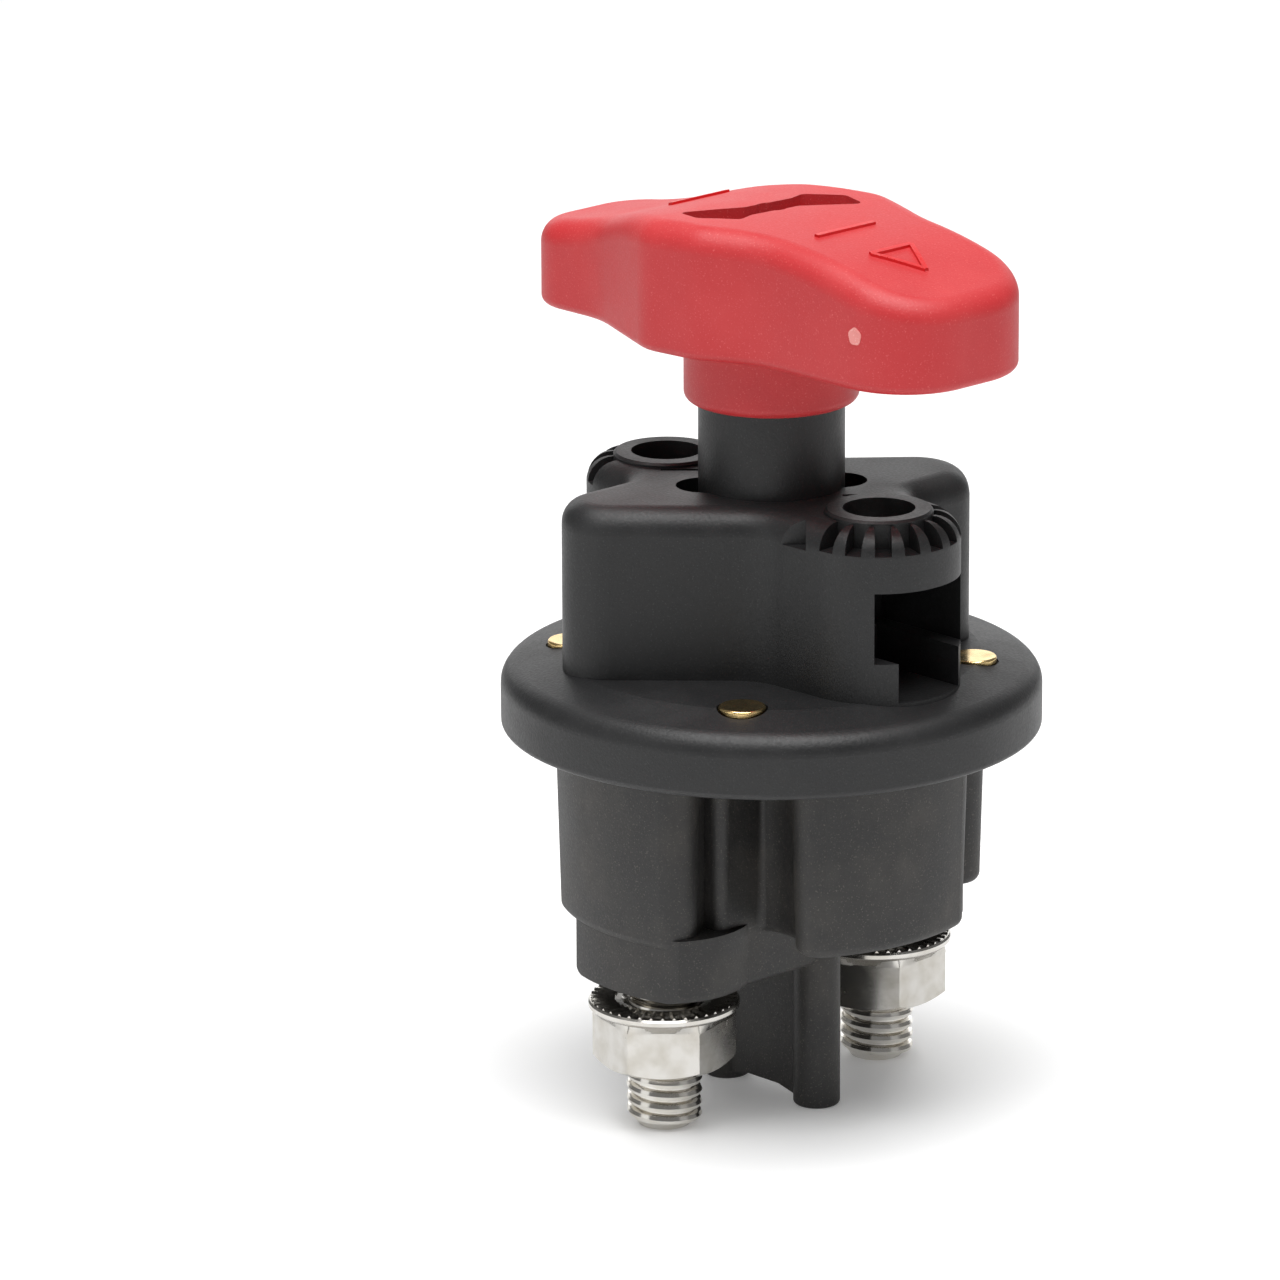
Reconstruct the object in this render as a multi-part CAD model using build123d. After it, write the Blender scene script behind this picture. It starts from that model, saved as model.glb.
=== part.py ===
from build123d import *
import math
import os

# Sealed rotary battery switch: round moulded base with two terminal studs, riveted cover with two
# screw ears and a tall stem, and a two-armed knob that turns the contact bridge a quarter turn.
# Frame: +Z up along the knob's axis, z = 0 at the stud ends, X through the studs, Y through the ears.
# All sizes are in millimetres.

# ---- driving dimensions ------------------------------------------------------------------------
STUD_X = 19.05            # each terminal stud from the axis (1.5 in spacing)
EAR_Y = 19.05             # each ear screw hole from the axis (1.5 in spacing)
STUD_R = 9.525 / 2        # 3/8-16 thread, outside radius
STUD_NECK_R = 4.25        # shank at the thread's pitch radius, in the nut and the housing
STUD_FREE_Z = 7.7         # outside radius up to here, just below the nut
EAR_HOLE_R = 4.55         # clearance hole for a 5/16 in screw
CROWN_Z = 116.2           # top of the knob at its hub

SKIRT_R = (28.0, 27.4)    # base skirt radius, under the flange and at its lower edge
SKIRT_Z = 26.0            # lower edge of the base skirt
BOSS_Z = 19.3             # lower face of the stud bosses
BOSS_R = 11.3             # stud boss radius
WEB_Y = 10.2              # half width of the web between the bosses
FLOOR_Z = 30.0            # floor of the contact chamber
POST_Y = 8.2              # foot posts of the barrier wall
POST_R = 3.0
WALL_T = 3.2
WALL_Z = 1.6              # lower edge of the barrier wall

RIM_R = 34.3              # cover rim
RIM_Z = 49.2              # underside of the cover rim
RIM_EDGE_Z = 56.9         # top of the rim at its edge
RIM_TOP_Z = 58.6          # top of the rim against the cover's walls
RECESS_R = 32.0           # recess under the rim that takes the base flange
RECESS_Z = 53.6           # roof of that recess
BASE_FLANGE_R = 31.7
GASKET_Z = 52.8           # gasket seat
GASKET_R = 28.9           # gasket's inner radius

PLATEAU_Z = 80.5          # flat top of the cover
EAR_TOP_Z = 81.05         # the ears stand a little proud, against the panel
EAR_R = 10.2              # ear nose radius
EAR_PAD_R = 6.8           # flat pad round each screw hole
EAR_SLOT_Z = 77.5         # floor of the coring slots round an ear
STEM_R = 9.25
STEM_TOP_Z = 97.0         # top of the stem, inside the knob's skirt

RIVET_R = 25.7            # rivets from the axis
RIVET_ANGLE = 37.4        # first rivet, the others follow at 90 degrees
RIVET_HEAD_R = 2.97
RIVET_SHANK_R = 1.6
RIVET_TOP_Z = 58.9
BITE_R = 6.3              # bite in the skirt that clears each rivet's tail
BITE_CENTRE_R = 22.0

POCKET_X = 7.8            # half width of the pocket that holds a 5/16 in hex nut
POCKET_Z = (63.7, 72.8)
POCKET_Y = 11.8           # closed end of the pocket
DRAIN_X = 5.4             # half width of the narrow slot under it

CHAMBER_R = 13.2          # contact chamber in the base
LOBE_R = 6.9              # chamber lobe round each stud head
TURRET_R = 16.5           # room for the rotor disc
UPPER_R = 10.9            # room above the rotor disc
UPPER_Z = 62.5
HUB_ROOM_R = 8.6          # room for the rotor hub
HUB_ROOM_Z = 77.0

SHAFT_R = 6.0
BORE_R = 6.05             # running fit of the shaft in the stem
SQUARE = 8.0              # square drive at both ends of the shaft

NUT_FLAT = 15.7           # terminal nut, across flats
NUT_FLANGE_R = 9.6
NUT_Z = (8.2, 17.0)
NUT_TURN = (15.5, 3.8)    # how far each nut's hexagon is turned

KNOB_Z = 99.45            # underside of the knob's arms
ARM_Y = 35.4              # reach of the arms
# height of the knob's crown every 6 mm along Y, from Y = -36
CROWN_PROFILE = (110.5, 111.9, 113.6, 114.8, 115.5, 116.0, CROWN_Z, 116.0, 115.2, 113.5, 111.9, 110.8, 110.2)
COLLAR_R = 11.05          # knob collar round the stem
COLLAR_Z = 91.5
COLLAR_BORE_R = 9.6

LIFT = 2.0                # the bridge stands this far off its contacts when the switch is off
BAR_T = 2.5               # fixed contact bar thickness
BRIDGE_T = 2.5
BRIDGE_HALF = 11.8
BRIDGE_W = 8.0
PAD_T = 0.8               # silver contact pads
PAD_R = 2.5
PAD_X = 8.5

BAR_TOP = FLOOR_Z + BAR_T
PAD_TOP = BAR_TOP + PAD_T
BRIDGE_Z = PAD_TOP + LIFT + PAD_T          # underside of the bridge, switch off
CARRIER_Z = BRIDGE_Z + BRIDGE_T
SPRING_Z = CARRIER_Z + 3.0
ROTOR_Z = 50.0
ROTOR_DISC_T = 6.0
SHAFT_Z = 62.0
SIDES = (-1, 1)


# ---- helpers -----------------------------------------------------------------------------------
def disc(radius, z0, z1, x=0.0, y=0.0):
    """Upright cylinder between two heights."""
    return Pos(x, y, (z0 + z1) / 2) * Cylinder(radius, z1 - z0)


def block(x0, x1, y0, y1, z0, z1):
    """Box between two corners."""
    return Pos((x0 + x1) / 2, (y0 + y1) / 2, (z0 + z1) / 2) * Box(x1 - x0, y1 - y0, z1 - z0)


def ring(inner, outer, z0, z1, x=0.0, y=0.0):
    """Flat ring between two heights."""
    return disc(outer, z0, z1, x, y) - disc(inner, z0 - 1, z1 + 1, x, y)


def half_turn(shape):
    """The same shape on the opposite side of the axis."""
    return Rot(0, 0, 180) * shape


def outline(corners):
    """Closed face through (x, y, corner radius) corners."""
    points = [(x, y) for x, y, _ in corners]
    return make_face(FilletPolyline(*points, radius=[r for _, _, r in corners], close=True))


def prism(face, z0, z1, taper=0.0):
    """Face drawn at z = 0, raised between two heights."""
    return Pos(0, 0, z0) * extrude(face, z1 - z0, taper=taper)


def edges_at(shape, z):
    """Edges that lie wholly at one height."""
    return [e for e in shape.edges() if max(abs(v - z) for v in
            (e.bounding_box().min.Z, e.bounding_box().max.Z)) < 0.02]


def rivet_places():
    """Centres of the four rivets."""
    angles = [math.radians(RIVET_ANGLE + 90 * k) for k in range(4)]
    return [(RIVET_R * math.cos(a), RIVET_R * math.sin(a)) for a in angles]


# ---- base housing ------------------------------------------------------------------------------
def skirt():
    """Tapered round skirt with a bite at each rivet, closed behind the bites by the web."""
    face = Circle(SKIRT_R[1])
    for k in range(4):
        bite = Pos(BITE_CENTRE_R, 0) * Circle(BITE_R)
        bite += Pos(BITE_CENTRE_R + BITE_R, 0) * Rectangle(2 * BITE_R, 2 * BITE_R)
        face -= Rot(0, 0, RIVET_ANGLE + 90 * k) * bite
    face += Rectangle(2 * STUD_X, 2 * WEB_Y)
    face = fillet(face.vertices().filter_by(lambda v: math.hypot(v.X, v.Y) > 26), 3.0)
    face = fillet(face.vertices().filter_by(lambda v: abs(abs(v.Y) - WEB_Y) < 0.01), 1.2)
    taper = -math.degrees(math.atan((SKIRT_R[0] - SKIRT_R[1]) / (RIM_Z - SKIRT_Z)))
    solid = prism(face, SKIRT_Z, RIM_Z + 0.5, taper)
    return fillet(edges_at(solid, SKIRT_Z), 1.3)


def bosses():
    """Two round stud bosses joined by a web, all kept just inside the skirt."""
    face = Rectangle(2 * STUD_X, 2 * WEB_Y)
    for side in SIDES:
        face += Pos(side * STUD_X, 0) * Circle(BOSS_R)
    solid = prism(face, BOSS_Z, SKIRT_Z + 1.7)
    solid = fillet(edges_at(solid, BOSS_Z), 1.0)
    return solid & disc(SKIRT_R[1] - 0.3, BOSS_Z - 1, RIM_Z)


def barrier():
    """Insulating wall between the terminals, with a round foot post at each end."""
    top = BOSS_Z + 2
    solid = block(-WALL_T / 2, WALL_T / 2, -POST_Y, POST_Y, WALL_Z, top)
    gusset = Polyline((POST_Y, 0.3), (POST_Y - POST_R - 2.8, WALL_Z + 0.1), (POST_Y, WALL_Z + 0.1), close=True)
    foot = extrude(Plane.YZ * make_face(gusset), WALL_T / 2, both=True)
    for side in SIDES:
        post = disc(POST_R, 0, top, 0, side * POST_Y)
        solid += fillet(edges_at(post, 0), 0.5)
        solid += foot if side > 0 else half_turn(foot)
    return solid


def contact_chamber():
    """Hollow for the bridge, the fixed bars and the stud heads."""
    room = disc(CHAMBER_R, FLOOR_Z, RECESS_Z + 1)
    for side in SIDES:
        room += disc(LOBE_R, FLOOR_Z, 44, side * STUD_X)
        room += block(min(0, side * STUD_X), max(0, side * STUD_X), -LOBE_R, LOBE_R, FLOOR_Z, 44)
        room += disc(STUD_NECK_R + 0.04, 0, FLOOR_Z + 1, side * STUD_X)
        room += disc(LOBE_R - 0.3, FLOOR_Z - 1.4, FLOOR_Z, side * STUD_X)
    return room + disc(TURRET_R, RIM_Z, RECESS_Z + 1)


def base_housing():
    """Moulded base: skirt, stud bosses, barrier, sealing flange and contact chamber."""
    solid = skirt() + bosses() + barrier()
    solid += disc(BASE_FLANGE_R, RIM_Z, GASKET_Z)
    solid += disc(GASKET_R, RIM_Z, RECESS_Z)
    solid -= contact_chamber()
    for x, y in rivet_places():
        solid -= disc(RIVET_SHANK_R, 40, 60, x, y)
    return solid


# ---- cover housing -----------------------------------------------------------------------------
def cover_outline():
    """Walls of the cover: two ear noses and two slightly unequal lobes at 45 degrees."""
    nose = EAR_Y + EAR_R
    return outline([
        (EAR_R, -nose, EAR_R - 0.1), (EAR_R, -14.6, 2.6), (20.9, -14.6, 5.0), (28.6, -6.4, 7.0),
        (10.9, 9.4, 8.0), (EAR_R, nose, EAR_R - 0.1), (-EAR_R, nose, EAR_R - 0.1), (-EAR_R, 15.3, 2.6),
        (-21.9, 15.3, 5.0), (-28.2, 8.6, 6.0), (-10.9, -8.7, 8.0), (-EAR_R, -nose, EAR_R - 0.1),
    ])


def rim():
    """Round rim with a gently sloping top, hollow underneath to take the base flange."""
    section = Polyline((0, RIM_Z), (RIM_R, RIM_Z), (RIM_R, RIM_EDGE_Z), (26.5, RIM_TOP_Z), (0, RIM_TOP_Z),
                       close=True)
    solid = revolve(Plane.XZ * make_face(section), Axis.Z)
    outer = [e for e in solid.edges().filter_by(GeomType.CIRCLE) if e.radius > RIM_R - 0.1]
    low, high = sorted(outer, key=lambda e: e.center().Z)
    solid = fillet(high, 2.8)
    low = [e for e in edges_at(solid, RIM_Z) if e.radius > RIM_R - 0.1]
    return fillet(low, 0.8)


def ear_slots():
    """Coring slots that fan out round the nose of the -Y ear."""
    step, wide, length = 21, 2.1, 6.0
    slots = []
    for k in range(-4, 4):
        cut = block(EAR_PAD_R, EAR_PAD_R + length, -wide / 2, wide / 2, EAR_SLOT_Z, EAR_TOP_Z + 1)
        slots.append(Pos(0, -EAR_Y) * Rot(0, 0, -90 + step * k) * cut)
    slots.append(Rot(0, 0, -45) * block(0.7, 4.4, -20.5, -16.6, EAR_SLOT_Z - 0.4, EAR_TOP_Z))
    slots.append(Rot(0, 0, -45) * block(8.9, 14.1, -6.4, -5.5, PLATEAU_Z - 3, EAR_TOP_Z + 1))
    return slots


def nut_pocket():
    """Nut pocket and drain slot, open through the nose of the -Y ear."""
    y_out = -EAR_Y - EAR_R - 2
    cut = block(-POCKET_X, POCKET_X, y_out, -POCKET_Y, *POCKET_Z)
    return cut + block(-DRAIN_X, DRAIN_X, y_out, -POCKET_Y - 1.6, RIM_TOP_Z, POCKET_Z[0] + 1)


def mechanism_room():
    """Stepped hollow for the rotor, its hub and the shaft."""
    room = disc(TURRET_R, RIM_Z - 1, RIM_EDGE_Z + 0.2)
    room += disc(UPPER_R, RIM_Z, UPPER_Z)
    room += disc(HUB_ROOM_R, RIM_Z, HUB_ROOM_Z)
    room += disc(BORE_R, RIM_Z, STEM_TOP_Z + 1)
    return room + disc(RECESS_R, RIM_Z - 1, RECESS_Z)


def rotor_stop():
    """Curved block in the turret whose two ends stop the rotor's lugs after a quarter turn."""
    rays = [(40 * math.cos(math.radians(a)), 40 * math.sin(math.radians(a))) for a in (-73.9, -39, -4.1)]
    sector = prism(make_face(Polyline((0, 0), *rays, close=True)), RECESS_Z + 0.3, RIM_EDGE_Z + 0.5)
    return sector & ring(13.2, TURRET_R + 0.3, RECESS_Z, RIM_EDGE_Z + 1)


def cover_housing():
    """Moulded cover: rim, walls, ears with their nut pockets, and the stem that guides the shaft."""
    walls = prism(cover_outline(), RECESS_Z + 1, PLATEAU_Z)
    walls = fillet(edges_at(walls, PLATEAU_Z), 3.3)
    solid = rim() + walls
    for side in SIDES:
        pad = disc(EAR_PAD_R, PLATEAU_Z - 2, EAR_TOP_Z, 0, side * EAR_Y)
        solid += chamfer(edges_at(pad, EAR_TOP_Z), 0.3)
    for side in SIDES:
        solid -= Rot(0, 0, -45) * disc(3.6, PLATEAU_Z - 4, PLATEAU_Z + 2, side * 8.45, side * 1.3)
    solid += disc(STEM_R, PLATEAU_Z - 5, STEM_TOP_Z)
    solid -= mechanism_room()
    ear_hole = disc(EAR_HOLE_R, RIM_TOP_Z + 3, EAR_TOP_Z + 1, 0, -EAR_Y)
    for cut in ear_slots() + [ear_hole, nut_pocket()]:
        solid -= cut
        solid -= half_turn(cut)
    for x, y in rivet_places():
        solid -= disc(RIVET_SHANK_R, 40, 60, x, y)
        solid -= disc(RIVET_HEAD_R + 0.25, RIVET_TOP_Z - 1.1, 62, x, y)
    return solid + rotor_stop() + half_turn(rotor_stop())


def housing_gasket():
    """Flat gasket between the base flange and the cover."""
    return ring(GASKET_R, BASE_FLANGE_R, GASKET_Z, RECESS_Z)


def rivet(x, y):
    """Flat-headed brass rivet with its formed tail under the base flange."""
    head = disc(RIVET_HEAD_R, RIVET_TOP_Z - 1.1, RIVET_TOP_Z, x, y)
    head = fillet(edges_at(head, RIVET_TOP_Z), 0.3)
    tail = disc(2.7, RIM_Z - 1.2, RIM_Z, x, y)
    return head + disc(RIVET_SHANK_R, RIM_Z - 1, RIVET_TOP_Z - 1, x, y) + tail


# ---- terminals ---------------------------------------------------------------------------------
def terminal_stud(side):
    """Plated stud: round head in the chamber, thread envelope outside, chamfered end."""
    x = side * STUD_X
    shank = chamfer(edges_at(disc(STUD_R, 0, STUD_FREE_Z, x), 0), 1.3)
    shank += disc(STUD_NECK_R, STUD_FREE_Z, BAR_TOP + 1, x)
    return shank + chamfer(edges_at(disc(6.2, BAR_TOP, BAR_TOP + 3, x), BAR_TOP + 3), 0.5)


def contact_bar(side):
    """Copper bar clamped by the stud head, reaching in to the fixed pad."""
    bar = block(5.4, STUD_X, -5, 5, FLOOR_Z, BAR_TOP) + disc(LOBE_R - 0.4, FLOOR_Z, BAR_TOP, STUD_X)
    bar -= disc(STUD_NECK_R, FLOOR_Z - 1, BAR_TOP + 1, STUD_X)
    return bar if side > 0 else half_turn(bar)


def flange_nut(side, turn):
    """Serrated flange nut, flange towards the housing."""
    x = side * STUD_X
    hexagon = Pos(0, 0, NUT_Z[0]) * extrude(RegularPolygon(NUT_FLAT / 2, 6, major_radius=False), 7.6)
    hexagon = hexagon & Pos(0, 0, NUT_Z[0] + 11.2) * Cone(NUT_FLAT / 2 - 0.3, 30, 22.4)
    skirt_z = NUT_Z[1] - 3.0
    flange = Pos(0, 0, skirt_z + 0.8) * Cone(NUT_FLAT / 2, NUT_FLANGE_R, 1.6)
    flange += disc(NUT_FLANGE_R, skirt_z + 1.6, NUT_Z[1])
    flange = fillet(edges_at(flange, NUT_Z[1]), 0.4)
    nut = hexagon + flange
    bore = disc(STUD_NECK_R + 0.05, 0, 30)
    bore += Pos(0, 0, NUT_Z[0] + 0.4) * Cone(STUD_NECK_R + 0.85, STUD_NECK_R + 0.05, 0.8)
    return Pos(x, 0, 0) * Rot(0, 0, turn) * (nut - bore)


# ---- moving contact ----------------------------------------------------------------------------
def contact_bridge():
    """Copper bridge, lying across the terminals' line while the switch is off."""
    bar = block(-BRIDGE_W / 2, BRIDGE_W / 2, -BRIDGE_HALF, BRIDGE_HALF, BRIDGE_Z, CARRIER_Z)
    bar = fillet(bar.edges().filter_by(Axis.Z), 1.5)
    return bar - disc(1.5, BRIDGE_Z - 1, CARRIER_Z + 1)


def bridge_carrier():
    """Moulded carrier: cheeks along the bridge and a square post that slides in the rotor."""
    plate = disc(10.6, CARRIER_Z, SPRING_Z)
    for side in SIDES:
        cheek = block(4.1, 5.6, -7, 7, BRIDGE_Z + 0.4, CARRIER_Z + 1)
        plate += cheek if side > 0 else half_turn(cheek)
    post = block(-3.2, 3.2, -3.2, 3.2, CARRIER_Z, 57.5)
    return plate + post - disc(1.5, BRIDGE_Z - 1, CARRIER_Z + 5)


def bridge_rivet():
    """Rivet that holds the bridge to its carrier."""
    return disc(1.5, BRIDGE_Z - 0.1, CARRIER_Z + 4.5) + disc(2.6, BRIDGE_Z - 1.0, BRIDGE_Z)


def contact_spring():
    """Compression spring between the carrier and the rotor, three and a half turns."""
    wire_r, coil_r, clear = 0.8, 7.2, 0.15
    height = ROTOR_Z - SPRING_Z - 2 * wire_r - 2 * clear
    path = Helix(pitch=height / 3.5, height=height, radius=coil_r)
    profile = Plane(origin=path @ 0, z_dir=path % 0) * Circle(wire_r)
    return Pos(0, 0, SPRING_Z + wire_r + clear) * sweep(profile, path=path)


# ---- rotor and shaft ---------------------------------------------------------------------------
def rotor():
    """Rotor disc with its stop lug and a hub that joins the carrier's post to the shaft."""
    top = ROTOR_Z + ROTOR_DISC_T
    solid = disc(12.6, ROTOR_Z, top)
    lug = Rot(0, 0, -84) * block(10, 15.6, -2.2, 2.2, RECESS_Z + 0.4, top)
    solid += lug + half_turn(lug)
    solid += disc(8.2, top - 1, 70.0)
    solid -= block(-3.3, 3.3, -3.3, 3.3, ROTOR_Z - 1, 60)
    return solid - block(-SQUARE / 2, SQUARE / 2, -SQUARE / 2, SQUARE / 2, SHAFT_Z, 71)


def shaft():
    """Steel shaft: square foot in the rotor, thrust collar, two seal grooves, square drive on top."""
    half = SQUARE / 2
    solid = block(-half, half, -half, half, SHAFT_Z + 0.05, 71)
    solid += disc(8.2, 70.05, 75.9) + disc(SHAFT_R, 75, STEM_TOP_Z)
    solid += block(-half, half, -half, half, STEM_TOP_Z - 1, 108.5)
    for z in (84, 90):
        solid -= ring(4.6, SHAFT_R + 1, z, z + 2)
    return solid - disc(1.9, 98, 109)


def shaft_seal(z):
    """O-ring in one groove of the shaft."""
    return ring(4.6, SHAFT_R - 0.02, z + 0.1, z + 1.9)


def thrust_washer():
    """Plastic washer between the shaft collar and the roof of the cover."""
    return ring(BORE_R + 0.05, 8.2, 75.9, HUB_ROOM_Z - 0.05)


# ---- knob --------------------------------------------------------------------------------------
def knob_outline():
    """Two unequal arms on a swollen hub."""
    return outline([
        (-12.0, -ARM_Y, 10.0), (14.4, -ARM_Y, 11.0), (14.4, -14.0, 14.0), (17.0, -4.0, 8.0), (14.6, 7.0, 8.0),
        (9.8, 16.0, 9.0), (9.8, ARM_Y, 7.0), (-10.3, ARM_Y, 7.0), (-10.3, 21.0, 14.0), (-16.6, 6.0, 7.0),
        (-15.8, -2.0, 7.0), (-12.0, -10.0, 12.0),
    ])


def crown():
    """Side profile of the knob, high over the hub and falling to the tips, pushed through sideways."""
    points = [(-36 + 6 * k, z) for k, z in enumerate(CROWN_PROFILE)]
    top = Spline(*points)
    sides = Polyline(points[-1], (36, KNOB_Z), (-36, KNOB_Z), points[0])
    return extrude(Plane.YZ.offset(-20) * make_face([top, sides]), 40)


def key_recess():
    """Shallow skewed recess in the crown."""
    half = [(-9.9, 6.4, 0.8), (-10.9, 2.2, 1.2), (-7.4, -2.1, 1.0), (-4.8, -1.4, 0.8), (2.7, -2.1, 0.8)]
    face = outline(half + [(-x, -y, r) for x, y, r in half])
    return prism(face, CROWN_Z - 4.5, CROWN_Z + 2)


def knob():
    """Moulded knob with its collar round the stem."""
    solid = prism(knob_outline(), KNOB_Z, CROWN_Z + 2) & crown()
    upper = [e for e in solid.edges() if e.bounding_box().min.Z > KNOB_Z + 8]
    solid = fillet(upper, 3.2)
    solid = fillet(edges_at(solid, KNOB_Z), 1.1)
    collar = fillet(edges_at(disc(COLLAR_R, COLLAR_Z, KNOB_Z + 2), COLLAR_Z), 1.2)
    solid += collar
    solid -= disc(COLLAR_BORE_R, COLLAR_Z - 1, STEM_TOP_Z + 0.5)
    solid -= block(-SQUARE / 2, SQUARE / 2, -SQUARE / 2, SQUARE / 2, STEM_TOP_Z, 108.5)
    solid -= key_recess()
    return solid - disc(2.1, 100, CROWN_Z)


def knob_screw():
    """Screw in the floor of the recess that holds the knob on the shaft."""
    floor = CROWN_Z - 4.5
    return disc(1.9, 99, floor + 0.3) + disc(2.05, floor - 1.6, floor - 0.2)


# ---- the assembly ------------------------------------------------------------------------------
def nodes():
    """Every sub-part by name."""
    parts = {
        "base_housing": base_housing(),
        "cover_housing": cover_housing(),
        "housing_gasket": housing_gasket(),
        "cover_rivets": Compound([rivet(x, y) for x, y in rivet_places()]),
        "fixed_contact_pads": Compound([disc(PAD_R, BAR_TOP, PAD_TOP, s * PAD_X) for s in SIDES]),
        "stud_seals": Compound([ring(STUD_NECK_R, LOBE_R - 0.3, FLOOR_Z - 1.4, FLOOR_Z, s * STUD_X)
                                for s in SIDES]),
        "contact_bridge": contact_bridge(),
        "bridge_pads": Compound([disc(PAD_R, BRIDGE_Z - PAD_T, BRIDGE_Z, 0, s * PAD_X) for s in SIDES]),
        "bridge_carrier": bridge_carrier(),
        "bridge_rivet": bridge_rivet(),
        "contact_spring": contact_spring(),
        "rotor": rotor(),
        "shaft": shaft(),
        "shaft_seals": Compound([shaft_seal(z) for z in (84, 90)]),
        "thrust_washer": thrust_washer(),
        "knob": knob(),
        "knob_screw": knob_screw(),
    }
    for side, name, turn in zip(SIDES, ("left", "right"), NUT_TURN):
        parts["terminal_stud_" + name] = terminal_stud(side)
        parts["contact_bar_" + name] = contact_bar(side)
        parts["flange_nut_" + name] = flange_nut(side, turn)
    return parts


os.makedirs("parts", exist_ok=True)
for node, shape in nodes().items():
    export_step(shape, os.path.join("parts", node + ".step"))
    print(node, round(shape.volume, 1))
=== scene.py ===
# %% [markdown]
# # A sealed battery switch
# The measured model of the switch comes in first and is never changed: every piece in this file is made around
# it, in metres, in the same frame. The box round the measured model is kept.

# %% Load the measured frame
import math
import bmesh
import bpy
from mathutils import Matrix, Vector
from mathutils.bvhtree import BVHTree


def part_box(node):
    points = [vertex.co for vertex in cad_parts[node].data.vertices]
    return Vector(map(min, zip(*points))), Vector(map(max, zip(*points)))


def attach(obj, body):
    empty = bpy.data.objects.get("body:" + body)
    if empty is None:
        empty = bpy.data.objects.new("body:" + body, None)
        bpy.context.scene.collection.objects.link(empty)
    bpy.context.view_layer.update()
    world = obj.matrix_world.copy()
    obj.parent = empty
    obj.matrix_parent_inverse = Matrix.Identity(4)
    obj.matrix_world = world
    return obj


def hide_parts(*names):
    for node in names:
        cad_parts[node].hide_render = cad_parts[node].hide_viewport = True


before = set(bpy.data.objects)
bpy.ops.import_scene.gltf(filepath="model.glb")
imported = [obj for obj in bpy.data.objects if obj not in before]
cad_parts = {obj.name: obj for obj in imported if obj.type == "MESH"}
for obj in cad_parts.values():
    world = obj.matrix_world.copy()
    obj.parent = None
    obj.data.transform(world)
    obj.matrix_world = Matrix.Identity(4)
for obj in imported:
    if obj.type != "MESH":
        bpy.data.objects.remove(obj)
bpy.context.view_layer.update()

MM = 0.001

# %% [markdown]
# ## Shader maths as plain sums
# A node tree is easier to read when it is written as arithmetic. One small class wraps a socket, and adding
# or multiplying two of them adds the Math node. Every other node comes from one method, which takes the
# node's type, its settings and what goes into its sockets.


# %% Sockets that can be added and multiplied
class Wire:
    """One output socket of a material's node tree."""

    def __init__(self, tree, socket):
        self.tree = tree
        self.socket = socket

    def maths(self, operation, a, b):
        made = self.node("ShaderNodeMath", {"operation": operation, "use_clamp": False}, {0: a, 1: b})
        return made[0]

    def node(self, kind, settings=None, sockets=None):
        """A new node of the same tree, as the list of its outputs."""
        made = self.tree.nodes.new(kind)
        for name, value in (settings or {}).items():
            setattr(made, name, value)
        for name, value in (sockets or {}).items():
            if isinstance(value, Wire):
                self.tree.links.new(value.socket, made.inputs[name])
            else:
                made.inputs[name].default_value = value
        return [Wire(self.tree, out) for out in made.outputs]

    def __add__(self, other):
        return self.maths("ADD", self, other)

    def __sub__(self, other):
        return self.maths("SUBTRACT", self, other)

    def __mul__(self, other):
        return self.maths("MULTIPLY", self, other)

    __radd__ = __add__
    __rmul__ = __mul__

    def __rsub__(self, other):
        return self.maths("SUBTRACT", other, self)

# %% [markdown]
# ## Finishes
# Every finish starts the same way: a Principled shader, and patterns that read Object coordinates, so that
# they stay on the piece in any view. One helper holds that start, another gives soft noise whose size is told
# in millimetres, and another mixes two colours.


# %% What all finishes share
def new_finish(name, **numbers):
    """A material with its shader, the Object coordinates, and uniform numbers set on the shader itself."""
    material = bpy.data.materials.new(name)
    material.use_nodes = True
    tree = material.node_tree
    shader = tree.nodes["Principled BSDF"]
    for socket, value in numbers.items():
        shader.inputs[socket.replace("_", " ")].default_value = value
    place = Wire(tree, tree.nodes.new("ShaderNodeTexCoord").outputs["Object"])
    return material, shader, place


def noise(place, size_mm, detail=3.0, stretch=(1, 1, 1)):
    """Soft noise with features about size_mm across, longer where stretch is below 1."""
    spread = place.node("ShaderNodeMapping", None, {"Vector": place, "Scale": stretch})[0]
    sockets = {"Vector": spread, "Scale": 1000 / size_mm, "Detail": detail}
    return place.node("ShaderNodeTexNoise", None, sockets)[0]


def sharpen(value, low, high):
    """Stretches the part of a pattern between low and high to the whole of 0 to 1."""
    return value.node("ShaderNodeMapRange", None, {0: value, 1: low, 2: high})[0]


def blend_colours(mask, first, second):
    """The first colour where the mask is 0, the second where it is 1."""
    made = mask.tree.nodes.new("ShaderNodeMix")
    made.data_type = "RGBA"
    mask.tree.links.new(mask.socket, made.inputs[0])
    for index, colour in ((6, first), (7, second)):
        if isinstance(colour, Wire):
            mask.tree.links.new(colour.socket, made.inputs[index])
        else:
            made.inputs[index].default_value = (*colour, 1)
    return Wire(mask.tree, made.outputs[2])


def connect(shader, **wires):
    """Plugs patterns into the shader. A height makes a Bump node with its depth in millimetres."""
    for name, wire in wires.items():
        if name == "height":
            pattern, depth_mm = wire
            bump = pattern.node("ShaderNodeBump", None, {"Height": pattern, "Distance": depth_mm * MM})[0]
            pattern.tree.links.new(bump.socket, shader.inputs["Normal"])
        else:
            wire.tree.links.new(wire.socket, shader.inputs[name.replace("_", " ")])


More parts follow.
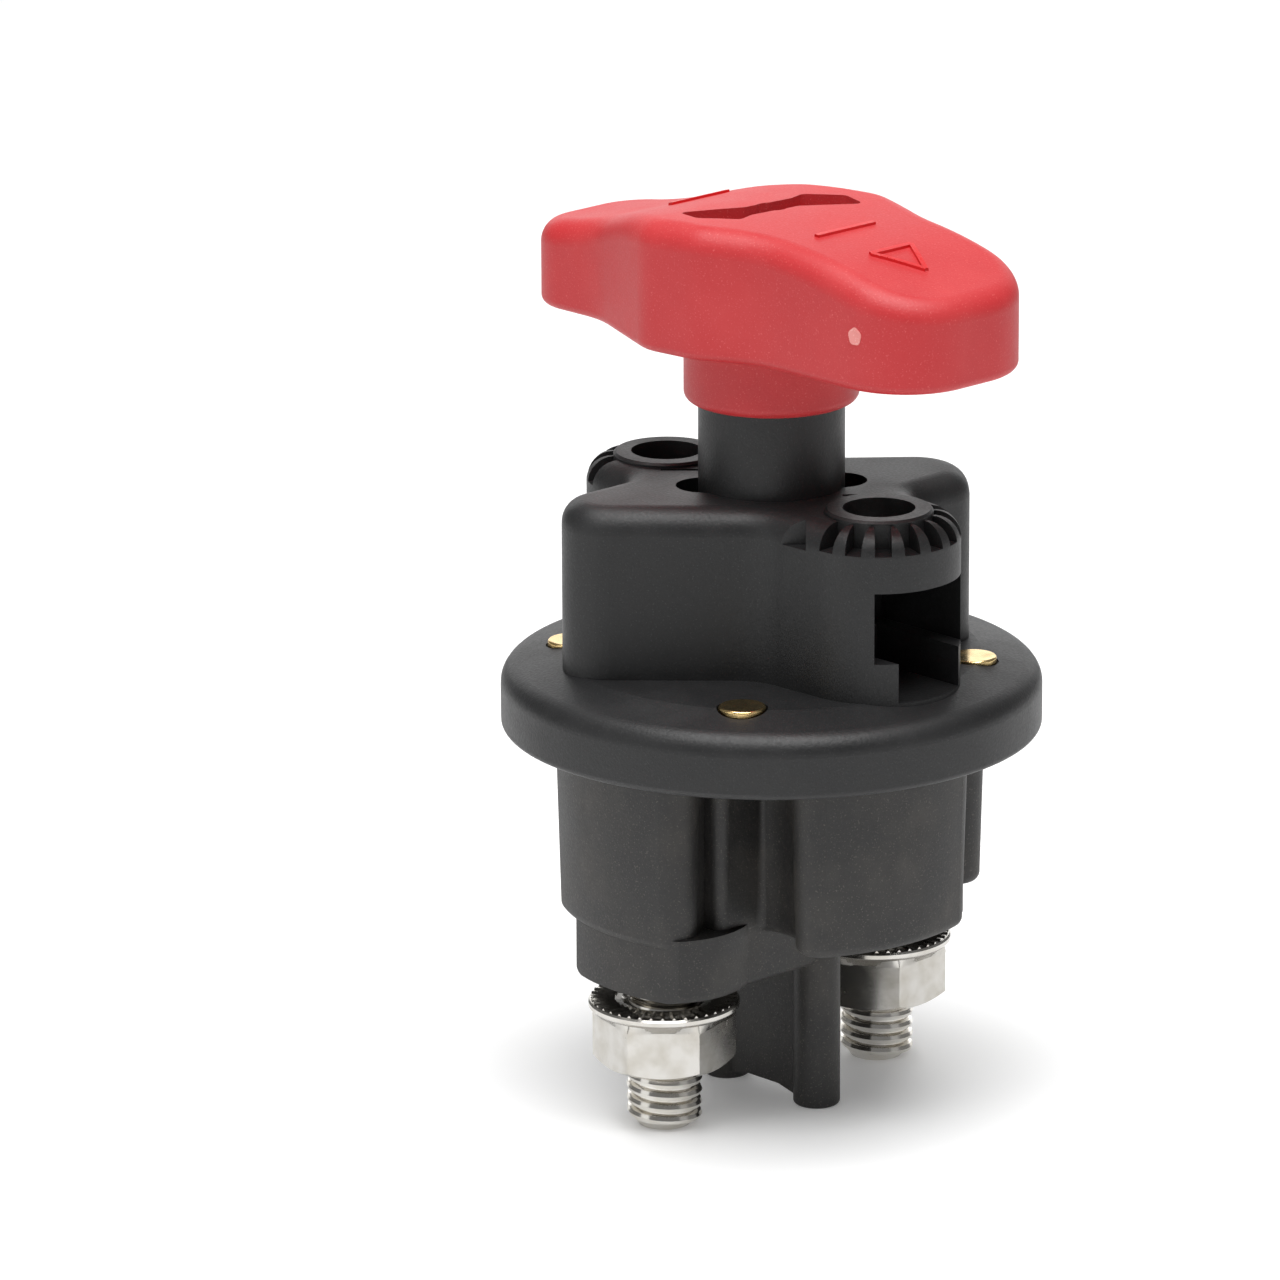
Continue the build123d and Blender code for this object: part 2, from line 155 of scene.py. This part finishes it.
# %% [markdown]
# ### Moulded plastic
# The housings are glass-filled nylon. It leaves the mould with a fine matt grain, pale specks where fibres
# reach the surface, and broad cloudy patches a little greyer than the rest. The knob is the same kind of
# plastic in red, with a finer and softer grain. One function makes all of them.


# %% Moulded plastics
def moulded_plastic(name, colour, cloud, speck, roughness, grain_mm=0.35, cloud_part=0.6, speck_part=0.35):
    """Matt moulded plastic: base colour, cloudy patches, pale specks and a fine grain."""
    material, shader, place = new_finish(name, Specular_IOR_Level=0.45)
    broad = sharpen(noise(place, 9.0, 4.0), 0.42, 0.72)
    fine = noise(place, grain_mm, 2.0)
    specks = sharpen(noise(place, 0.22, 1.0), 0.63, 0.74)
    worn = noise(place, 2.5, 5.0, (1, 1, 0.6))
    cloudy = blend_colours(broad * worn * cloud_part * 2.0, colour, cloud)
    tint = blend_colours(specks * speck_part, cloudy, speck)
    rough = roughness + (fine - 0.5) * 0.22 + (broad - 0.5) * 0.08
    connect(shader, Base_Color=tint, Roughness=rough, height=(fine + worn * 0.5, 0.035))
    return material


base_black = moulded_plastic("base_black_nylon", (0.019, 0.0185, 0.018), (0.045, 0.042, 0.038),
                             (0.13, 0.115, 0.10), 0.56, cloud_part=0.9, speck_part=0.5)
cover_black = moulded_plastic("cover_black_nylon", (0.0105, 0.0107, 0.0112), (0.019, 0.019, 0.0195),
                              (0.06, 0.06, 0.06), 0.5, cloud_part=0.5, speck_part=0.3)
knob_red = moulded_plastic("knob_red_nylon", (0.50, 0.026, 0.030), (0.56, 0.048, 0.050),
                           (0.74, 0.17, 0.16), 0.52, 0.3, 0.5, 0.35)
mark_red = moulded_plastic("mark_red_nylon", (0.58, 0.008, 0.010), (0.60, 0.012, 0.014),
                           (0.66, 0.05, 0.05), 0.36, 0.3, 0.4, 0.2)
gate_pink = moulded_plastic("gate_pale_nylon", (0.78, 0.26, 0.24), (0.86, 0.42, 0.38),
                            (0.9, 0.6, 0.55), 0.62, 0.25, 0.9, 0.6)
rotor_grey = moulded_plastic("rotor_grey_nylon", (0.09, 0.09, 0.095), (0.12, 0.12, 0.12),
                             (0.2, 0.2, 0.2), 0.5)
washer_white = moulded_plastic("washer_natural_acetal", (0.72, 0.71, 0.66), (0.66, 0.65, 0.6),
                               (0.8, 0.8, 0.76), 0.42)
print("plastics:", base_black.name, cover_black.name, knob_red.name)

# %% [markdown]
# ### Metals
# The studs and nuts are steel with a bright nickel plate: nearly a mirror, with faint turning lines and a
# slight yellow cast that comes and goes. The nuts get a darker copy of the same plate: painted shade, standing
# in for the shadowed floor that their low facets reflect. The rivets are polished brass. Copper bars, silver
# pads and the turned shaft are inside. All are one function with different colours and lines.


# %% Metals
def metal(name, colour, stain, roughness, lines_mm=0.12, depth_mm=0.004, stretch=(1, 1, 8)):
    """Metal with fine tool lines, cloudy staining and uneven polish."""
    material, shader, place = new_finish(name, Metallic=1.0)
    lines = noise(place, lines_mm * 8, 4.0, stretch)
    stains = sharpen(noise(place, 3.0, 4.0), 0.4, 0.75)
    pits = sharpen(noise(place, 0.5, 2.0), 0.62, 0.8)
    tint = blend_colours(stains, colour, stain)
    rough = roughness + (lines - 0.5) * roughness * 0.7 + stains * roughness * 0.5 + pits * 0.08
    connect(shader, Base_Color=tint, Roughness=rough, height=(lines - pits * 0.6, depth_mm))
    return material


nickel = metal("bright_nickel_plate", (0.76, 0.74, 0.70), (0.66, 0.625, 0.555), 0.14)
# The same nickel plate as the studs, made darker for the nuts: painted shade for the shadowed floor their
# facets reflect.
shaded_nut_nickel = metal("nut_nickel_plate", (0.58, 0.565, 0.535), (0.45, 0.425, 0.375), 0.17)
brass = metal("polished_brass", (0.86, 0.64, 0.30), (0.70, 0.47, 0.18), 0.18)
copper = metal("contact_copper", (0.82, 0.42, 0.27), (0.62, 0.28, 0.17), 0.3)
silver = metal("contact_silver", (0.88, 0.87, 0.84), (0.7, 0.69, 0.66), 0.26)
shaft_steel = metal("turned_steel", (0.58, 0.58, 0.58), (0.46, 0.45, 0.44), 0.3)
spring_steel = metal("drawn_spring_steel", (0.5, 0.5, 0.51), (0.38, 0.37, 0.36), 0.28)
screw_black = metal("blackened_steel", (0.11, 0.10, 0.10), (0.16, 0.13, 0.12), 0.42)
print("metals:", nickel.name, brass.name, copper.name)


# %% Rubber
def rubber(name, colour):
    """Soft black rubber with a dusty bloom."""
    material, shader, place = new_finish(name, Specular_IOR_Level=0.35)
    dust = sharpen(noise(place, 1.6, 5.0), 0.5, 0.8)
    grain = noise(place, 0.3, 2.0)
    tint = blend_colours(dust * 0.4, colour, (0.09, 0.09, 0.088))
    connect(shader, Base_Color=tint, Roughness=0.68 + dust * 0.2, height=(grain, 0.02))
    return material


seal_black = rubber("seal_black_rubber", (0.02, 0.02, 0.02))

# %% [markdown]
# ## Finishes on the measured parts
# The measured parts whose shape is already right keep it, and only get their finish.

# %% Give each measured part its finish
FINISH = {
    "base_housing": base_black, "cover_housing": cover_black, "housing_gasket": seal_black,
    "cover_rivets": brass, "contact_bar_left": copper, "contact_bar_right": copper,
    "fixed_contact_pads": silver, "stud_seals": seal_black, "contact_bridge": copper,
    "bridge_pads": silver, "bridge_carrier": rotor_grey, "bridge_rivet": shaft_steel,
    "contact_spring": spring_steel, "rotor": rotor_grey, "shaft": shaft_steel,
    "shaft_seals": seal_black, "thrust_washer": washer_white, "knob": knob_red, "knob_screw": screw_black,
    "terminal_stud_left": nickel, "terminal_stud_right": nickel,
    "flange_nut_left": shaded_nut_nickel, "flange_nut_right": shaded_nut_nickel,
}
for node, finish in FINISH.items():
    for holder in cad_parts[node].material_slots:
        holder.material = finish
print("finished parts:", len(FINISH))

# %% [markdown]
# ## Turned pieces
# A stud and a nut are turned on a lathe, so both are rings of points stacked along an axis. A ring may be
# round or follow a hexagon, and its height may change round the ring where a chamfer crosses the corners.
# The rings are joined by quads, and the ends are closed, so the mesh is a solid.


# %% Stack rings of points into a closed solid
def stack_rings(name, rings, closed_loop=False):
    """Mesh object from rings of (x, y, z) points. A closed loop of rings is a tube-like solid with a hole."""
    mesh = bmesh.new()
    rows = [[mesh.verts.new(point) for point in ring] for ring in rings]
    count = len(rows[0])
    pairs = list(zip(rows, rows[1:])) + ([(rows[-1], rows[0])] if closed_loop else [])
    for lower, upper in pairs:
        for k in range(count):
            n = (k + 1) % count
            mesh.faces.new((lower[k], lower[n], upper[n], upper[k]))
    if not closed_loop:
        mesh.faces.new(list(reversed(rows[0])))
        mesh.faces.new(rows[-1])
    bmesh.ops.recalc_face_normals(mesh, faces=mesh.faces)
    data = bpy.data.meshes.new(name)
    mesh.to_mesh(data)
    mesh.free()
    made = bpy.data.objects.new(name, data)
    bpy.context.scene.collection.objects.link(made)
    return made


def shade_by_angle(piece, degrees=35):
    """Smooth shading that keeps crisp edges sharper than the angle."""
    with bpy.context.temp_override(object=piece, active_object=piece, selected_objects=[piece],
                                   selected_editable_objects=[piece]):
        bpy.ops.object.shade_smooth_by_angle(angle=math.radians(degrees))


def centre_of(node):
    """Middle of a measured part, seen from above."""
    low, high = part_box(node)
    return (low.x + high.x) / 2, (low.y + high.y) / 2


# %% [markdown]
# ## Growing geometry with nodes
# What repeats is grown by Geometry Nodes: the thread ridge winds up the stud, and the serrations stand round
# the nut's flange. Each tree has named inputs for its sizes. When it has done its work, the result is taken
# as a plain mesh and the modifier is dropped.


# %% Build a node tree, run it once and keep plain geometry
def node_tree(name, inputs):
    """Empty geometry tree with a geometry input, named number inputs and a geometry output."""
    tree = bpy.data.node_groups.new(name, "GeometryNodeTree")
    tree.interface.new_socket("Geometry", in_out="INPUT", socket_type="NodeSocketGeometry")
    for label, kind in inputs:
        tree.interface.new_socket(label, in_out="INPUT", socket_type=kind)
    tree.interface.new_socket("Geometry", in_out="OUTPUT", socket_type="NodeSocketGeometry")
    return tree, tree.nodes.new("NodeGroupInput"), tree.nodes.new("NodeGroupOutput")


def add(tree, kind, settings=None, **sockets):
    """One node of a geometry tree. A socket takes a number or another node's output."""
    made = tree.nodes.new(kind)
    for key, value in (settings or {}).items():
        setattr(made, key, value)
    for key, value in sockets.items():
        socket = made.inputs[key.replace("_", " ")]
        if isinstance(value, bpy.types.NodeSocket):
            tree.links.new(value, socket)
        else:
            socket.default_value = value
    return made


def finish_tree(tree, geometry, outlet, material):
    """Ends a tree the way the export needs it: real geometry, with its material."""
    real = add(tree, "GeometryNodeRealizeInstances", None, Geometry=geometry)
    painted = add(tree, "GeometryNodeSetMaterial", None, Geometry=real.outputs[0])
    painted.inputs["Material"].default_value = material
    tree.links.new(painted.outputs[0], outlet.inputs[0])


def grow(piece, tree, **values):
    """Runs the tree on the piece with these inputs and keeps the outcome as its plain mesh."""
    modifier = piece.modifiers.new(tree.name, "NODES")
    modifier.node_group = tree
    for item in tree.interface.items_tree:
        key = item.name.replace(" ", "_")
        if item.in_out == "INPUT" and key in values:
            modifier[item.identifier] = values[key]
    evaluated = piece.evaluated_get(bpy.context.evaluated_depsgraph_get())
    plain = bpy.data.meshes.new_from_object(evaluated)
    piece.modifiers.remove(modifier)
    piece.data = plain
    return piece


# %% [markdown]
# ### The thread
# The terminal thread is 3/8-16: sixteen ridges to the inch. A ridge with a flat crest is wound along a
# spiral round a slimmer core, which is close to how a rolled thread looks, and far lighter than cutting it.

# %% The tree that winds a thread ridge
PITCH = 25.4 / 16 * MM
STUD_R = 4.7625 * MM
CORE_R = 4.05 * MM


def thread_tree(material):
    """A spiral ridge added to the piece it is run on."""
    inputs = [("Turns", "NodeSocketFloat"), ("Height", "NodeSocketFloat"), ("Radius", "NodeSocketFloat"),
              ("Ridge", "NodeSocketFloat"), ("Start", "NodeSocketVector")]
    tree, inlet, outlet = node_tree("wind_thread", inputs)
    spiral = add(tree, "GeometryNodeCurveSpiral", None, Resolution=72, Rotations=inlet.outputs["Turns"],
                 Start_Radius=inlet.outputs["Radius"], End_Radius=inlet.outputs["Radius"],
                 Height=inlet.outputs["Height"])
    upright = add(tree, "GeometryNodeSetCurveNormal", {"mode": "Z_UP"}, Curve=spiral.outputs[0])
    ridge = add(tree, "GeometryNodeCurvePrimitiveCircle", None, Resolution=8, Radius=inlet.outputs["Ridge"])
    swept = add(tree, "GeometryNodeCurveToMesh", None, Curve=upright.outputs[0],
                Profile_Curve=ridge.outputs[0], Fill_Caps=True)
    placed = add(tree, "GeometryNodeTransform", None, Geometry=swept.outputs[0],
                 Translation=inlet.outputs["Start"])
    joined = add(tree, "GeometryNodeJoinGeometry")
    tree.links.new(placed.outputs[0], joined.inputs[0])
    tree.links.new(inlet.outputs["Geometry"], joined.inputs[0])
    finish_tree(tree, joined.outputs[0], outlet, material)
    return tree


# %% [markdown]
# ### The terminal studs
# Each stud is one turned piece: a chamfered end, the threaded length, a plain neck through the housing, and
# a round head inside that clamps the copper bar.


# %% Make both studs
def stud(node, tree):
    """A threaded stud in place of the measured plain one."""
    low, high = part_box(node)
    x, y = centre_of(node)
    head_r = (high.x - low.x) / 2
    profile = [(3.1, low.z / MM), (3.35, 0.12), (CORE_R / MM, 1.1), (CORE_R / MM, 19.6), (4.25, 20.2),
               (4.25, 32.5), (head_r / MM, 32.5), (head_r / MM, 35.0), (head_r / MM - 0.5, high.z / MM)]
    sides = 72
    turns = [math.tau * k / sides for k in range(sides)]
    rings = [[(x + r * MM * math.cos(a), y + r * MM * math.sin(a), z * MM) for a in turns] for r, z in profile]
    piece = stack_rings(node + "_threaded", rings)
    piece.data.materials.append(nickel)
    ridge = 0.66 * MM
    height = 17.6 * MM
    grow(piece, tree, Turns=height / PITCH, Height=height, Radius=STUD_R - ridge * 0.93, Ridge=ridge,
         Start=(x, y, low.z + 1.15 * MM))
    shade_by_angle(piece)
    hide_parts(node)
    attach(piece, "housing")
    print(piece.name, "faces", len(piece.data.polygons))
    return piece


winding = thread_tree(nickel)
for stud_node in ("terminal_stud_left", "terminal_stud_right"):
    stud(stud_node, winding)

# %% [markdown]
# ### The flange nuts
# A serrated flange nut is a hexagon with chamfered corners that swells into a round flange. Its section is
# walked once round: up the hexagon, out over the flange, back along the top and down the bore. The teeth of
# the flange are grown after that, as low ribs round the top.


# %% The ribs that stand round a flange
def rib_tree(material):
    """Radial ribs round a centre, joined to the piece."""
    inputs = [("Count", "NodeSocketInt"), ("Radius", "NodeSocketFloat"), ("Size", "NodeSocketVector"),
              ("Centre", "NodeSocketVector")]
    tree, inlet, outlet = node_tree("ring_of_ribs", inputs)
    circle = add(tree, "GeometryNodeMeshCircle", None, Vertices=inlet.outputs["Count"],
                 Radius=inlet.outputs["Radius"])
    rib = add(tree, "GeometryNodeMeshCube", None, Size=inlet.outputs["Size"])
    edge_on = add(tree, "GeometryNodeTransform", None, Geometry=rib.outputs[0],
                  Rotation=(math.radians(45), 0, 0))
    normal = add(tree, "GeometryNodeInputPosition")
    outward = add(tree, "FunctionNodeAlignEulerToVector", {"axis": "X"}, Vector=normal.outputs[0])
    spread = add(tree, "GeometryNodeInstanceOnPoints", None, Points=circle.outputs[0],
                 Instance=edge_on.outputs[0], Rotation=outward.outputs[0])
    placed = add(tree, "GeometryNodeTransform", None, Geometry=spread.outputs[0],
                 Translation=inlet.outputs["Centre"])
    joined = add(tree, "GeometryNodeJoinGeometry")
    tree.links.new(placed.outputs[0], joined.inputs[0])
    tree.links.new(inlet.outputs["Geometry"], joined.inputs[0])
    finish_tree(tree, joined.outputs[0], outlet, material)
    return tree


# %% Make both nuts
HALF_FLAT = 7.85
HEX_STEP = math.radians(60)


def hexagon_radius(angle):
    """Distance from the centre to the side of the hexagon, in millimetres."""
    return HALF_FLAT / math.cos((angle + HEX_STEP / 2) % HEX_STEP - HEX_STEP / 2)


def nut(node, body, turn_degrees, tree):
    """A hexagon flange nut with a serrated flange and a chamfered bore."""
    low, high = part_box(node)
    x, y = centre_of(node)
    bottom, top = low.z / MM, high.z / MM
    flange_r = (high.x - low.x) / 2 / MM
    sides = 180
    rings = []

    def ring(radius, height):
        points = []
        for k in range(sides):
            angle = math.tau * k / sides
            r, z = radius(angle), height(angle)
            turned = angle + math.radians(turn_degrees + 30)
            points.append((x + r * MM * math.cos(turned), y + r * MM * math.sin(turned), z * MM))
        rings.append(points)

    def flat(r, z):
        ring(lambda a: r, lambda a: z)

    flat(4.80, bottom + 0.9)
    flat(5.55, bottom)
    flat(7.45, bottom)
    ring(hexagon_radius, lambda a: bottom + 0.1 + max(0.0, hexagon_radius(a) - 7.6) * 0.55)
    ring(hexagon_radius, lambda a: bottom + 6.1)
    ring(lambda a: hexagon_radius(a) + 0.06, lambda a: bottom + 6.3)
    flat(flange_r - 0.75, bottom + 7.2)
    flat(flange_r - 0.25, bottom + 7.45)
    flat(flange_r, bottom + 7.75)
    flat(flange_r, top - 0.55)
    flat(flange_r - 0.2, top - 0.3)
    flat(flange_r - 0.5, top - 0.22)
    flat(6.3, top - 0.35)
    flat(5.4, top - 0.35)
    flat(4.80, top - 0.95)
    piece = stack_rings(node + "_serrated", rings, closed_loop=True)
    # The nut's darker plate is painted shade, not a different metal.
    piece.data.materials.append(shaded_nut_nickel)
    grow(piece, tree, Count=40, Radius=7.8 * MM, Size=(3.0 * MM, 0.62 * MM, 0.62 * MM),
         Centre=(x, y, (top - 0.44) * MM))
    shade_by_angle(piece, 25)
    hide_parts(node)
    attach(piece, body)
    print(piece.name, "faces", len(piece.data.polygons))
    return piece


ribs = rib_tree(shaded_nut_nickel)
nut("flange_nut_left", "nut_left", 15.5, ribs)
nut("flange_nut_right", "nut_right", 3.8, ribs)

# %% [markdown]
# ## Marks on the knob
# A switch knob carries raised marks. Plain ones stand in for them here: a straight bar across each arm and
# a triangle that points out along one of them, so that the two ends can be told apart. Each line is a thin
# bar dropped straight down on the knob, so it follows the crown. The foot of each bar sinks into the knob,
# so that no gap shows.

# %% Drop lines on the crown
knob_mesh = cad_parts["knob"].data
crown = BVHTree.FromPolygons([v.co[:] for v in knob_mesh.vertices],
                             [p.vertices[:] for p in knob_mesh.polygons])


def on_crown(x_mm, y_mm):
    """Height of the knob's upper surface, in metres."""
    place, _, _, _ = crown.ray_cast(Vector((x_mm * MM, y_mm * MM, 0.2)), Vector((0, 0, -1)))
    return place.z


def even_steps(points, step):
    """The same line with a point every step millimetres."""
    out = [Vector(points[0])]
    for start, end in zip(points, points[1:]):
        start, end = Vector(start), Vector(end)
        count = max(1, round((end - start).length / step))
        out += [start.lerp(end, k / count) for k in range(1, count + 1)]
    return out


def raised_bar(mesh, points, width, height=0.34, sink=0.4):
    """Adds one raised line, closed at both ends, to a bmesh."""
    line = even_steps(points, 0.4)
    rows = []
    for k, point in enumerate(line):
        ahead = line[min(k + 1, len(line) - 1)] - line[max(k - 1, 0)]
        side = Vector((-ahead.y, ahead.x)).normalized() * width / 2
        row = []
        for offset, lift in ((-1.12, -sink), (-0.82, height), (0.82, height), (1.12, -sink)):
            spot = point + side * offset
            row.append(mesh.verts.new((spot.x * MM, spot.y * MM, on_crown(spot.x, spot.y) + lift * MM)))
        rows.append(row)
    for lower, upper in zip(rows, rows[1:]):
        for k in range(4):
            n = (k + 1) % 4
            mesh.faces.new((lower[k], lower[n], upper[n], upper[k]))
    mesh.faces.new(rows[0])
    mesh.faces.new(list(reversed(rows[-1])))


# %% Draw two bars and a triangle
MARKS = [
    (0.8, [(-5.0, -13.0), (5.0, -13.0)]),
    (0.8, [(-3.5, -21.0), (3.5, -21.0)]),
    (0.8, [(3.5, -21.0), (0.0, -27.0)]),
    (0.8, [(0.0, -27.0), (-3.5, -21.0)]),
    (0.8, [(-5.0, 13.0), (5.0, 13.0)]),
]
marks = bmesh.new()
for width, points in MARKS:
    raised_bar(marks, points, width)
bmesh.ops.recalc_face_normals(marks, faces=marks.faces)
mark_data = bpy.data.meshes.new("knob_marks")
marks.to_mesh(mark_data)
marks.free()
knob_marks = bpy.data.objects.new("knob_marks", mark_data)
bpy.context.scene.collection.objects.link(knob_marks)
mark_data.materials.append(mark_red)
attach(knob_marks, "turning")
print("raised marks:", len(MARKS), "faces", len(mark_data.polygons))

# %% [markdown]
# ### The gate spot
# Where plastic entered the mould, a small round scar stays on the side of one arm, paler than the rest. It is
# a shallow disc with a slightly uneven rim, set on the knob's side wall.

# %% Make the gate spot
spot_at, spot_normal, _, _ = crown.ray_cast(Vector((-0.03, -0.0266, 0.1065)), Vector((1, 0, 0)))
across = spot_normal.cross(Vector((0, 0, 1))).normalized()
upward = across.cross(spot_normal).normalized()
gate_rings = []
for radius, lift in ((0.98, -0.2), (0.95, 0.05), (0.72, 0.09), (0.6, 0.03), (0.25, 0.05)):
    gate_rings.append([
        spot_at + spot_normal * lift * MM
        + (across * math.cos(math.tau * k / 32) + upward * math.sin(math.tau * k / 32) * 1.15)
        * radius * (1 + 0.05 * math.sin(5 * math.tau * k / 32)) * MM
        for k in range(32)])
gate_spot = stack_rings("knob_gate_spot", gate_rings)
gate_spot.data.materials.append(gate_pink)
shade_by_angle(gate_spot)
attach(gate_spot, "turning")
print("gate spot at", [round(v / MM, 2) for v in spot_at])

# %% [markdown]
# ## Floor, light and camera
# The switch stands on its studs on a white sweep. A large soft light hangs above it, weak ones stand at both
# sides, and one far behind gives the flat tops their pale sheen without reaching the front faces. The camera
# is a long lens a little over a metre away, turned so that both arms of the knob and one ear show.

# %% Floor
floor = stack_rings("floor", [[(3 * math.cos(math.tau * k / 64), 3 * math.sin(math.tau * k / 64), z)
                               for k in range(64)] for z in (-0.01, 0.0)])
floor_white, floor_shader, floor_place = new_finish("floor_white", Emission_Color=(1, 1, 1, 1),
                                                    Emission_Strength=0.14)
paper = noise(floor_place, 400.0, 2.0)
connect(floor_shader, Base_Color=blend_colours(paper, (0.93, 0.93, 0.93), (0.95, 0.95, 0.95)),
        Roughness=0.6 + paper * 0.1)
floor.data.materials.append(floor_white)


# %% Soft studio lights
def soft_light(name, place, target, size, power):
    """A square area light turned towards a point."""
    lamp = bpy.data.lights.new(name, "AREA")
    lamp.shape = "RECTANGLE"
    lamp.size, lamp.size_y = size
    lamp.energy = power
    holder = bpy.data.objects.new(name, lamp)
    bpy.context.scene.collection.objects.link(holder)
    holder.location = place
    holder.rotation_euler = (Vector(target) - Vector(place)).to_track_quat("-Z", "Y").to_euler()
    return holder


AIM = (0, 0, 0.06)
soft_light("top_light", (-0.1, -0.1, 0.9), AIM, (0.8, 0.8), 12)
soft_light("back_light", (1.0, 1.0, 0.45), AIM, (1.6, 0.7), 5)
soft_light("left_light", (-0.95, 0.25, 0.45), AIM, (0.5, 0.9), 1.1)
soft_light("right_light", (0.35, -0.95, 0.40), AIM, (0.5, 0.9), 0.3)
world = bpy.data.worlds.new("studio")
world.use_nodes = True
world.node_tree.nodes["Background"].inputs[0].default_value = (1, 1, 1, 1)
world.node_tree.nodes["Background"].inputs[1].default_value = 0.19
bpy.context.scene.world = world
bpy.context.scene.view_settings.view_transform = "Standard"

# %% Camera
CAMERA_AT = Vector((-0.7472, -0.7604, 0.375))
ALONG = Vector((0.7009, 0.7133, 0.0)).normalized()
PITCH_DOWN = math.radians(16.47)
view = ALONG * math.cos(PITCH_DOWN) - Vector((0, 0, math.sin(PITCH_DOWN)))
camera_data = bpy.data.cameras.new("camera")
camera_data.sensor_width = 36
camera_data.lens = 247.2
camera_data.shift_x = -0.1027
camera_data.clip_end = 20
camera = bpy.data.objects.new("camera", camera_data)
bpy.context.scene.collection.objects.link(camera)
camera.location = CAMERA_AT
camera.rotation_euler = view.to_track_quat("-Z", "Y").to_euler()
bpy.context.scene.camera = camera
print("camera looks along", [round(v, 3) for v in view])
